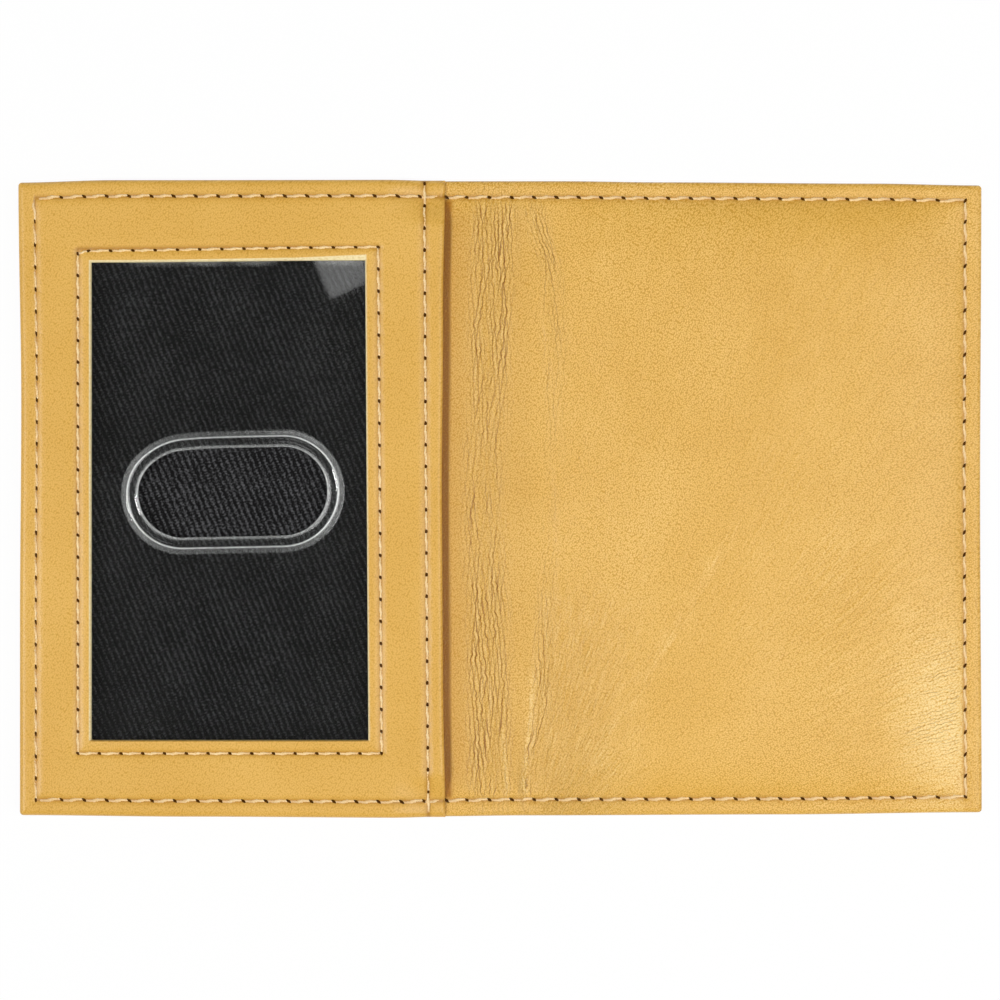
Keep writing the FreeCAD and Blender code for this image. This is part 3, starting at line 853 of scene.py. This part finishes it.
# the lower right edge is rubbed sleek and gets a painted highlight, and so do two ridges at the lower end of
# the fold and the pull line
def rubbed(x, y):
    corner = rise(x, 58, 14) * bump(y + 36, 13) * fall(x, seamX - 0.2, 0.6)
    ridge = bump(x - softCurve(y, panelWear["longRidge"]), 0.45) * fall(y, -23, 9)
    ridge = ridge * (0.6 + 0.25 * np.sin(y * 1.9) + 0.15 * np.sin(y * 4.7))
    short = 0.6 * bump(x - softCurve(y, panelWear["shortRidge"]), 0.4) * fall(y, -35, 6)
    pull = 0.16 * nearPull(x, y, 0.9) * (0.6 + 0.4 * np.sin(y * 1.3))
    return np.max([corner, pull, np.maximum(ridge, short) * fall(abs(y), seamY, 1.5)], axis=0)


innerYs = gridLines(
    [-halfHeight, 0, halfHeight], innerLeather["step"],
    [(-halfHeight, 2.0, 0.07), (-seamY, 1.6, 0.24), (seamY, 1.6, 0.24), (halfHeight, 2.0, 0.07)],
)
foldXs = gridLines(
    [innerLeather["start"], mouthX, 0], innerLeather["foldStep"],
    [(mouthX, 2.0, 0.2), (-2.5, 6.0, 0.2)],
)
panelXs = gridLines(
    [0, halfWidth], innerLeather["step"],
    [(1.0, 5.0, 0.22), (7.0, 4.0, 0.24), (seamX, 1.6, 0.24), (halfWidth, 2.0, 0.07)],
)
foldMarks = {mark.__name__: mark for mark in (creased, bent, drawn, fanned, handled, rubbed, puckered)}
foldSheet = shell("foldLeather", foldXs, innerYs, innerTop, innerBottom, pulled, marks=foldMarks)
panelSheet = shell("badgePanel", panelXs, innerYs, innerTop, innerBottom, pulled, marks=foldMarks)


def bendLeft(piece):
    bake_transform(piece)


def bendRight(piece):
    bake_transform(piece)


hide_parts("fold_leather_id_side", "spine_inner_leather")
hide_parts("badge_panel", "spine_inner_leather")
bendLeft(foldSheet)
bendRight(panelSheet)


# outer cover: one hide from edge to edge, turned up round the pocket half
outerCover = {
    "step": 1.1,
    "edgeRoll": 0.75,
    "innerRoll": 0.45,
    "pocketRoll": 0.3,
    "seamDip": 0.14,
    "seamWidth": 0.8,
    "rimWidth": 5.0,
    "backCrease": 0.12,
    "creaseShifts": (-0.9, 0.1, 1.1),
    "creaseWidth": 0.35,
    "slack": 0.02,
}


def coverBottom(x, y):
    s = outerCover
    inset = fromEdge(x, y)
    z = rollDrop(inset, s["edgeRoll"]) + s["seamDip"] * sewnEdge(abs(x), y, seamX, s["seamWidth"])
    for line in crease:
        for shift in s["creaseShifts"]:
            wave = line + shift + 0.25 * np.sin(y / 5.3 + shift * 3)
            z = z + s["backCrease"] * bump(x - wave, s["creaseWidth"]) * (0.6 + 0.4 * np.sin(y / 7 + shift))
    return z + s["slack"] * (1 + swell(x, y, 18, 3)) * ease(inset / 4)


def coverTop(x, y):
    s = outerCover
    inset, pocketSide = fromEdge(x, y), fall(x, mouthX - 2.5, 3)
    rim = pocketSide * fall(inset, s["rimWidth"], 0.4)
    z = foldLow[2] - clear + (coverHigh[2] - foldLow[2]) * rim
    return z - rollDrop(inset, s["innerRoll"] + s["pocketRoll"] * pocketSide)


coverYs = gridLines(
    [-halfHeight, 0, halfHeight], outerCover["step"],
    [(-halfHeight, 2.2, 0.07), (-seamY, 1.8, 0.3), (seamY, 1.8, 0.3), (halfHeight, 2.2, 0.07)],
)
coverXs = gridLines(
    [-halfWidth, 0], outerCover["step"],
    [(-halfWidth, 2.2, 0.07), (-seamX, 1.8, 0.3), (crease[0], 5.0, 0.24)],
)
coverLeft = shell("coverPocketHalf", coverXs, coverYs, coverTop, coverBottom, pulled)
coverRight = shell("coverBadgeHalf", -coverXs[::-1], coverYs, coverTop, coverBottom, pulled)
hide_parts("id_outer_cover", "spine_outer_cover")
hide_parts("badge_outer_cover", "spine_outer_cover")
bendLeft(coverLeft)
bendRight(coverRight)


# twill glued to the pocket's back
lining = {"thickness": 0.28, "step": 1.2, "slack": 0.03}


def liningTop(x, y):
    return liningHigh[2] - clear + lining["slack"] * swell(x, y, 11, 12)


def liningBottom(x, y):
    return liningTop(x, y) - lining["thickness"]


liningXs, liningYs = (gridLines([liningLow[k], liningHigh[k]], lining["step"]) for k in (0, 1))
liningSheet = shell("pocketTwill", liningXs, liningYs, liningTop, liningBottom, asCut, materials=(twill,))
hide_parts("id_pocket_lining")
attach(liningSheet, "id_half")

# vinyl window: flat film with a die-cut thumb slot, its rim sealed into a low bead
film = {
    "thickness": 0.28,
    "slotLength": 30.3,
    "slotWidth": 14.2,
    "slotMiddle": (-42.9, 1.1),
    "slotTilt": 1.2,
    "slotSag": 0.55,
    "around": 192,
    "wave": 0.012,
    # distance out from the slot's edge, height above the film, milkiness
    "rim": ((0.0, 0.05, 0.2), (0.08, 0.14, 0.34), (0.2, 0.18, 0.3), (0.36, 0.12, 0.2), (0.52, 0.05, 0.03),
            (1.0, 0.03, 0.01), (1.58, 0.04, 0.02), (1.66, 0.1, 0.3), (1.74, 0.2, 0.9), (1.82, 0.18, 0.5),
            (1.92, 0.1, 0.12), (2.1, 0.08, 0.1), (2.4, 0.06, 0.11), (2.6, 0.04, 0.1), (2.72, 0.02, 0.04),
            (2.82, 0.0, 0.0), (2.92, 0.0, 0.0), (4.5, 0.0, 0.0), (8.0, 0.0, 0.0)),
    # steps from there to the film's edge
    "outward": (0.33, 0.66, 1.0),
}


# the slot's outline, moved out: lower side, right end, upper side, left end
def slotLoop(out):
    s = film
    r = s["slotWidth"] / 2
    straight = s["slotLength"] / 2 - r
    side, end = 2 * straight, math.pi * r
    lap = 2 * (side + end)
    loop = []
    for at in (np.arange(s["around"]) / s["around"] * lap + straight) % lap:
        half, at = divmod(at, side + end)
        turn = max(at - side, 0) / r - math.pi / 2
        middle = min(at, side) - straight
        flip = 1 - 2 * half     # the upper half is the lower one turned round
        loop.append((flip * (middle + (r + out) * math.cos(turn)), flip * (r + out) * math.sin(turn)))
    loop = np.array(loop)
    # the upper left side sags
    loop[:, 1] -= s["slotSag"] * bump(loop[:, 0] + 13, 6) * np.clip(loop[:, 1] / 7, 0, 1)
    tilt = math.radians(s["slotTilt"])
    spin = np.array([[math.cos(tilt), math.sin(tilt)], [-math.sin(tilt), math.cos(tilt)]])
    return loop @ spin + np.array(s["slotMiddle"])


def filmEdge(loop):
    middle = np.array(film["slotMiddle"])
    way = loop - middle
    reach = []
    for k in (0, 1):
        limit = np.where(way[:, k] > 0, filmHigh[k] - middle[k], filmLow[k] - middle[k])
        reach.append(limit / np.where(abs(way[:, k]) < 1e-6, 1e-6, way[:, k]))
    return middle + way * np.minimum(*reach)[:, None]


def makeFilm():
    rings = [(slotLoop(out), high, milk) for out, high, milk in film["rim"]]
    last = rings[-1][0]
    rings += [(last * (1 - share) + filmEdge(last) * share, 0.0, 0.0) for share in film["outward"]]
    points, seal = [], []
    for top in (True, False):
        for loop, high, milk in rings:
            wave = film["wave"] * swell(loop[:, 0], loop[:, 1], 30, 17)
            z = filmLow[2] + (film["thickness"] + high + wave if top else wave * 0.5)
            points.append(np.column_stack([loop, z]))
            # painted highlight: the sealed rim is made milkier towards the slot's two ends
            ends = np.clip(abs(loop[:, 0] - film["slotMiddle"][0]) / film["slotLength"] * 2, 0, 1) ** 3
            seal.append(milk * (0.6 + 0.7 * ends))
    n, count = film["around"], len(rings)
    low, outer = count * n, (count - 1) * n
    faces = []
    for i in range(n):
        j = (i + 1) % n
        for a in range(0, outer, n):
            b = a + n
            faces.append((a + i, b + i, b + j, a + j))
            faces.append((low + a + j, low + b + j, low + b + i, low + a + i))
        faces.append((i, j, low + j, low + i))
        faces.append((outer + j, outer + i, low + outer + i, low + outer + j))
    mesh = bpy.data.meshes.new("vinylWindow")
    mesh.from_pydata((np.concatenate(points) * mm).tolist(), [], faces)
    mesh.materials.append(vinyl)
    store(mesh, "sealed", np.concatenate(seal))
    smooth(mesh)
    print("vinylWindow", len(faces), "faces")
    return place("vinylWindow", mesh)


filmSheet = makeFilm()
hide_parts("id_window_film")
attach(filmSheet, "id_half")


# foam under the badge panel, crowned like the leather over it
padShape = {
    "step": 1.4,
    "fine": (5, 0.3),
    "clear": 0.1,
    "edge": 5.0,
    "edgeHeight": 0.25,
    "least": 0.1,
    "base": 0.06,
}


def padTop(x, y):
    s = padShape
    inset = np.minimum(np.minimum(x - padLow[0], padHigh[0] - x), padHigh[1] - abs(y))
    full = 1 - np.exp(-np.clip(inset, 0, None) / s["edge"])
    rim = padLow[2] + s["edgeHeight"]
    z = rim + (padHigh[2] - s["clear"] - rim) * full
    return np.maximum(np.minimum(z, innerBottom(x, y) - 2 * clear), padLow[2] + s["least"])


def padBottom(x, y):
    return np.full(np.shape(x), padLow[2] + padShape["base"])


padXs, padYs = (
    gridLines([low, high], padShape["step"], [(low, *padShape["fine"]), (high, *padShape["fine"])])
    for low, high in zip(padLow[:2], padHigh[:2])
)
padPiece = shell("badgePad", padXs, padYs, padTop, padBottom, asCut, materials=(foam,))
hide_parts("badge_pad")
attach(padPiece, "badge_half")


# sewn rows: every point is a stitch, with the way it runs and its length in attributes
def sewnTree():
    tree = bpy.data.node_groups.new("sewnRow", "GeometryNodeTree")
    sizes = ("Thread", "Reach", "Arch", "Dip", "Twist", "Taper", "Slant", "Hole Long", "Hole Wide")
    for name, kind in (("Stitches", "Geometry"), *((size, "Float") for size in sizes), ("Seed", "Int"),
                       ("Thread Material", "Material"), ("Hole Material", "Material")):
        tree.interface.new_socket(name, in_out="INPUT", socket_type="NodeSocket" + kind)
    tree.interface.new_socket("Seam", in_out="OUTPUT", socket_type="NodeSocketGeometry")
    add = functools.partial(put, tree)
    given = add("NodeGroupInput").outputs

    # one stitch, a twisted bar that arches out of one hole and into the next, 1 mm long until it is stretched
    low = add("Math", [given["Dip"], -1.0], **times)
    start = add("CombineXYZ", {"X": -0.5 * mm, "Z": low})
    middle = add("CombineXYZ", {"Z": given["Arch"]})
    end = add("CombineXYZ", {"X": 0.5 * mm, "Z": low})
    bar = add("CurveQuadraticBezier", {"Resolution": 8, "Start": start, "Middle": middle, "End": end})
    along = add("SplineParameter")
    twist = add("Math", [along, given["Twist"]], **times)
    bar = add("SetCurveTilt", {"Curve": bar, "Tilt": twist})
    full = add("Math", [along, along, -1.0], **timesAdd)
    full = add("Math", [full, given["Taper"], 1.0], **timesAdd)
    bar = add("SetCurveRadius", {"Curve": bar, "Radius": full})
    # painted shade: the thread darkens towards its thin end, where it sinks into the hole
    sunk = add("Math", [1.0, along], operation="SUBTRACT")
    sunk = add("Math", [sunk, given["Taper"]], **times)
    bar = add("StoreNamedAttribute", {"Geometry": bar, "Name": "sunk", "Value": sunk})
    ring = add("CurvePrimitiveCircle", {"Resolution": 6, "Radius": given["Thread"]})
    flat = add("Transform", {"Geometry": ring, "Scale": (1.15, 0.8, 1.0)})
    bar = add("CurveToMesh", {"Curve": bar, "Profile Curve": flat, "Fill Caps": True})

    way, length, turn = (
        add("InputNamedAttribute", {"Name": name}, data_type=kind)
        for name, kind in (("way", "FLOAT_VECTOR"), ("length", "FLOAT"), ("turn", "FLOAT"))
    )
    facing = add("AlignRotationToVector", {"Vector": way}, axis="X", pivot_axis="Z")
    facing = add("AlignRotationToVector", {"Rotation": facing, "Vector": way}, axis="X", pivot_axis="Y")
    less = add("Math", [given["Slant"], 0.6], **times)
    more = add("Math", [given["Slant"], 1.4], **times)
    lean, share = (
        add("RandomValue", {2: least, 3: most, "Seed": given["Seed"]}, data_type="FLOAT")
        for least, most in ((less, more), (0.96, 1.04))
    )
    run = add("Math", [length, given["Reach"]], **times)
    run = add("Math", [run, share], **times)
    size = add("CombineXYZ", {"X": run, "Y": 1.0, "Z": 1.0})
    bars = add("InstanceOnPoints", {"Points": given["Stitches"], "Instance": bar,
                                    "Rotation": facing, "Scale": size})

    # the needle hole at the end of each stitch, a shallow dark seed shape that is painted shade for the
    # hole's shadow
    pip = add("MeshUVSphere", {"Segments": 8, "Rings": 4, "Radius": 0.5})
    size = add("CombineXYZ", {"X": given["Hole Long"], "Y": given["Hole Wide"], "Z": 0.34 * mm})
    holes = add("InstanceOnPoints", {"Points": given["Stitches"], "Instance": pip,
                                     "Rotation": facing, "Scale": size})
    half = add("VectorMath", {0: way, "Scale": 0.5}, operation="SCALE")
    holes = add("TranslateInstances", {"Instances": holes, "Translation": half, "Local Space": False})

    both = add("JoinGeometry")
    for copies, angle, skin in ((bars, lean, "Thread Material"), (holes, turn, "Hole Material")):
        spin = add("CombineXYZ", {"Z": angle})
        copies = add("RotateInstances", {"Instances": copies, "Rotation": spin})
        copies = add("RealizeInstances", {"Geometry": copies})
        copies = add("SetMaterial", {"Geometry": copies, "Material": given[skin]})
        feed(both, {"Geometry": copies})
    add("NodeGroupOutput", {"Seam": add("SetShadeSmooth", {"Geometry": both})})
    return tree


sewing = sewnTree()
sockets = {item.name: item.identifier for item in sewing.interface.items_tree if item.in_out == "INPUT"}


def sew(name, row, lay, height, settings):
    middles, steps, holeTurns = row
    # each stitch at its start, its end, and a quarter of the way in from both
    start, end, early, late = (
        np.column_stack([*lay(*spot.T), height(*spot.T)])
        for spot in (middles + share * steps for share in (-0.5, 0.5, -0.25, 0.25))
    )
    spots = (early + late) / 2
    level = (start[:, 2] + end[:, 2]) / 2
    spots[:, 2] = np.maximum(level, (spots[:, 2] + level) / 2)
    mesh = bpy.data.meshes.new(name + "Spots")
    mesh.from_pydata((spots * mm).tolist(), [], [])
    store(mesh, "way", (end - start) * mm)
    store(mesh, "turn", holeTurns)
    store(mesh, "length", np.linalg.norm(end - start, axis=1))
    seat = place(name + "Seat", mesh)
    modifier = seat.modifiers.new("sewing", "NODES")
    modifier.node_group = sewing
    for key, value in {**settings, "Thread Material": thread, "Hole Material": hole}.items():
        modifier[sockets[key]] = value
    sewn = bpy.data.meshes.new_from_object(seat.evaluated_get(bpy.context.evaluated_depsgraph_get()))
    bpy.data.objects.remove(seat)
    sewn.name = name
    piece = place(name, sewn)
    print(name, len(middles), "stitches,", len(sewn.polygons), "faces")
    return piece


edgeSewing = {
    "Thread": 0.29 * mm, "Reach": 0.72, "Arch": 0.3 * mm, "Dip": 0.16 * mm, "Twist": 6.0, "Taper": 0.55,
    "Slant": 0.1, "Hole Long": 1.25 * mm, "Hole Wide": 0.46 * mm, "Seed": 3,
}
neatSewing = {
    **edgeSewing, "Thread": 0.25 * mm, "Reach": 0.74, "Taper": 0.25, "Slant": 0.04, "Hole Long": 0.75 * mm,
    "Seed": 7,
}
backSewing = {
    **edgeSewing, "Thread": 0.2 * mm, "Arch": -0.2 * mm, "Dip": -0.1 * mm, "Slant": -0.08, "Seed": 11,
}

for name, row, settings, node in (
    ("windowSeam", windowRow, neatSewing, "window_stitching"),
    ("mouthSeam", mouthRow, neatSewing, "mouth_stitching"),
    ("pocketEdgeSeam", pocketEdge, edgeSewing, "id_edge_stitching"),
):
    piece = sew(name, row, leaned, frameTop, settings)
    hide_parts(node)
    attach(piece, "id_half")


# the seam steps down from the card frame to the fold
def edgeHeight(x, y):
    onFrame, onFold = frameTop(np.minimum(x, mouthX - 0.7), y), innerTop(np.maximum(x, mouthX + 0.1), y)
    return np.where(x < mouthX, onFrame, onFold)


foldSeamPiece = sew("foldEdgeSeam", foldEdge, pulled, edgeHeight, edgeSewing)
badgeSeamPiece = sew("badgeEdgeSeam", badgeEdge, pulled, innerTop, edgeSewing)
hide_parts("id_edge_stitching", "spine_edge_stitching")
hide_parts("badge_edge_stitching", "spine_edge_stitching")
bendLeft(foldSeamPiece)
bendRight(badgeSeamPiece)

# the under thread of the edge seam, seen on the back
backLeft = joinRows(
    edgeRow(firstX, 0.1, seamY, 0.4), edgeRow(firstX, 0.1, -seamY, 0.4),
    rowMiddles((-seamX, -seamY), (-seamX, seamY), seams["edgePitch"]),
)
backLeftPiece = sew("backSeamPocketHalf", backLeft, pulled, coverBottom, backSewing)
backRightPiece = sew("backSeamBadgeHalf", badgeEdge, pulled, coverBottom, backSewing)
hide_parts("id_edge_bobbin_stitching", "spine_edge_bobbin_stitching")
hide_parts("badge_edge_bobbin_stitching", "spine_edge_bobbin_stitching")
bendLeft(backLeftPiece)
bendRight(backRightPiece)

# hidden solids keep their shape and get their own finish
for node, material in (("id_stiffener", board), ("badge_stiffener", board),
                       ("window_bobbin_stitching", thread), ("mouth_bobbin_stitching", thread)):
    solid = frame["nodes"][node]
    solid.data.materials.clear()
    solid.data.materials.append(material)
print("pieces dressed")


# studio: white sweep, two soft boxes and a small card, a dim sky that is darker overhead
studio = {
    "pixel": 0.1603,
    "imageSize": 1000,
    "lens": 100.0,
    "sensor": 36.0,
    "plane": 3.0,
    "shift": (-0.08, -0.16),
    "skyLow": 0.36,
    "skyHigh": 0.1,
    "floorReach": 5000,
    "floorDrop": -0.1,
    "floorGlow": 0.96,
    # place, sides and power of each lamp, and the turn in degrees of one that hangs flat
    "left": ((-900, -160, 1150), (300, 300), 10.3, None),
    "right": ((360, -120, 620), (520, 520), 3.4, None),
    "card": ((-29.4, 145.0, 603), (120, 100), 0.055, 24),
}


def lamp(name, spot, sides, power, turn):
    light = bpy.data.lights.new(name, "AREA")
    light.energy = power
    light.shape = "RECTANGLE"
    light.size, light.size_y = (side * mm for side in sides)
    holder = place(name, light)
    holder.location = [c * mm for c in spot]
    if turn is None:
        holder.rotation_euler = (-holder.location).to_track_quat("-Z", "Y").to_euler()
    else:
        holder.rotation_euler = (0, 0, math.radians(turn))


# white paper: matt, and burnt out to white where the camera sees it
def makeFloor():
    reach, z = studio["floorReach"] * mm, studio["floorDrop"] * mm
    mesh = bpy.data.meshes.new("paperFloor")
    corners = [(x, y, z) for x, y in ((-reach, -reach), (reach, -reach), (reach, reach), (-reach, reach))]
    mesh.from_pydata(corners, [], [(0, 1, 2, 3)])
    material, add, shader = newMaterial("whitePaperSweep")
    feed(shader, {"Base Color": hexColour("#F4F4F2"), "Roughness": 0.9})
    ray = add("LightPath").outputs
    seen = add("Math", [ray["Is Camera Ray"], ray["Is Glossy Ray"]], operation="MAXIMUM")
    seen = add("Math", [seen, ray["Is Transmission Ray"]], operation="MAXIMUM")
    share = add("Math", [seen, studio["floorGlow"]], **times)
    glow = add("Emission")
    mix = add("MixShader", [share, shader, glow])
    feed(material.node_tree.nodes["Material Output"], {"Surface": mix})
    mesh.materials.append(material)
    place("paperFloor", mesh)


def makeSky():
    world = bpy.data.worlds.new("studioSky")
    world.use_nodes = True
    add = functools.partial(put, world.node_tree)
    up = add("SeparateXYZ", [add("TexCoord").outputs["Generated"]]).outputs["Z"]
    level = add("MapRange", {"Value": up, "From Min": 0.1, "From Max": 0.9, "To Min": studio["skyLow"],
                             "To Max": studio["skyHigh"]})
    feed(world.node_tree.nodes["Background"], {"Strength": level, "Color": (1, 1, 1, 1)})
    bpy.context.scene.world = world


makeFloor()
makeSky()
for name in ("left", "right", "card"):
    lamp(name + "Lamp", *studio[name])

lens = bpy.data.cameras.new("photoLens")
lens.lens, lens.sensor_width = studio["lens"], studio["sensor"]
lens.clip_start, lens.clip_end = 0.01, 20.0
camera = place("photoCamera", lens)
height = studio["lens"] / studio["sensor"] * studio["imageSize"] * studio["pixel"] + studio["plane"]
camera.location = [c * mm for c in (*studio["shift"], height)]
bpy.context.scene.camera = camera
bpy.context.scene.view_settings.view_transform = "Standard"
print("studio ready")
